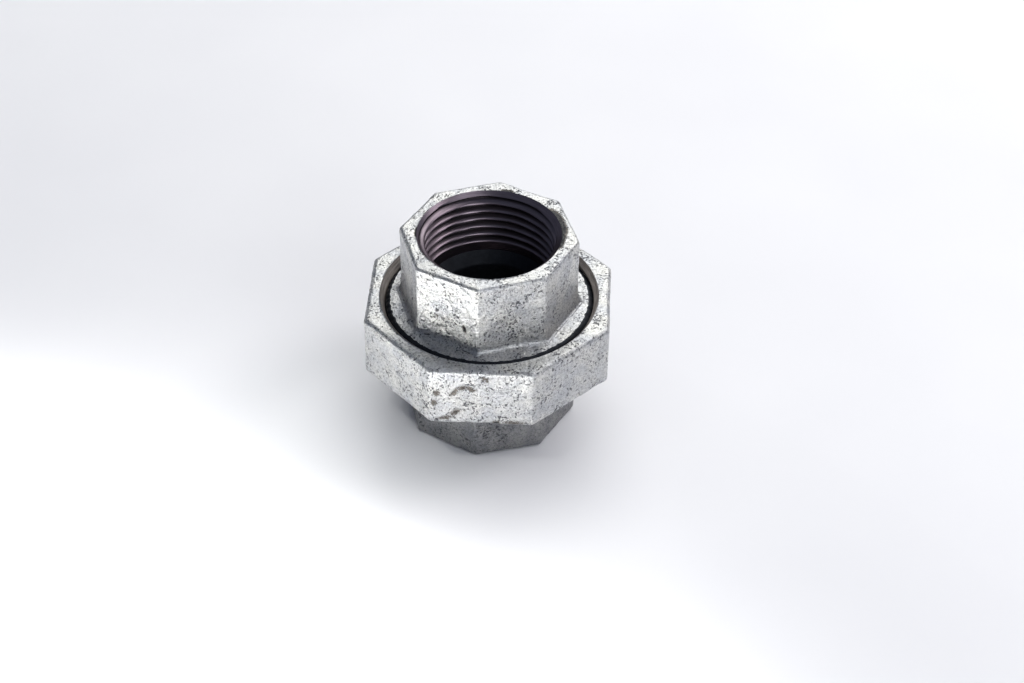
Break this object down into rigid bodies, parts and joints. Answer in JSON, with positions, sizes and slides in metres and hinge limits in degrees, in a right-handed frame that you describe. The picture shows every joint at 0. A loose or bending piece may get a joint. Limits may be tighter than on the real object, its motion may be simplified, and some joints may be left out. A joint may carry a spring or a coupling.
{
  "type": "pipe union",
  "caption": "Pipe union that joins two threaded pipes: two octagonal ends with a flat seat, drawn together by an octagonal nut.",
  "frame": {"origin": "centre of the lower pipe end's face, which the union stands on", "axes": "+Z along the pipe's axis, from the tail piece's end to the threaded body's end; +X square to a flat of the tail piece's octagon"},
  "size_m": [0.0628, 0.0628, 0.0521],
  "materials": {
    "galvanised_iron": "hot-dip galvanised casting, matt grey-white zinc with fine pits; threads machined and dark",
    "gasket_fibre": "matt pressed fibre sheet"
  },
  "bodies": {
    "tail_piece": {"tail_piece": "galvanised_iron"},
    "gasket": {"gasket": "gasket_fibre"},
    "union_nut": {"union_nut": "galvanised_iron"},
    "threaded_body": {"threaded_body": "galvanised_iron"}
  },
  "joints": [
    {"name": "swivel", "type": "hinge", "parent": "tail_piece", "child": "gasket", "pos_m": [0, 0, 0.0235], "axis": [0, 0, 1], "continuous": true},
    {"name": "nut_turn", "type": "hinge", "parent": "gasket", "child": "union_nut", "pos_m": [0, 0, 0.026], "axis": [0, 0, -1], "range_deg": [0, 1440]},
    {"name": "body_lift", "type": "slide", "parent": "gasket", "child": "threaded_body", "axis": [0, 0, 1], "range_m": [0, 0.008]}
  ],
  "couplings": [
    {"joint": "body_lift", "follows": "nut_turn", "m_per_rad": 0.00031831}
  ]
}
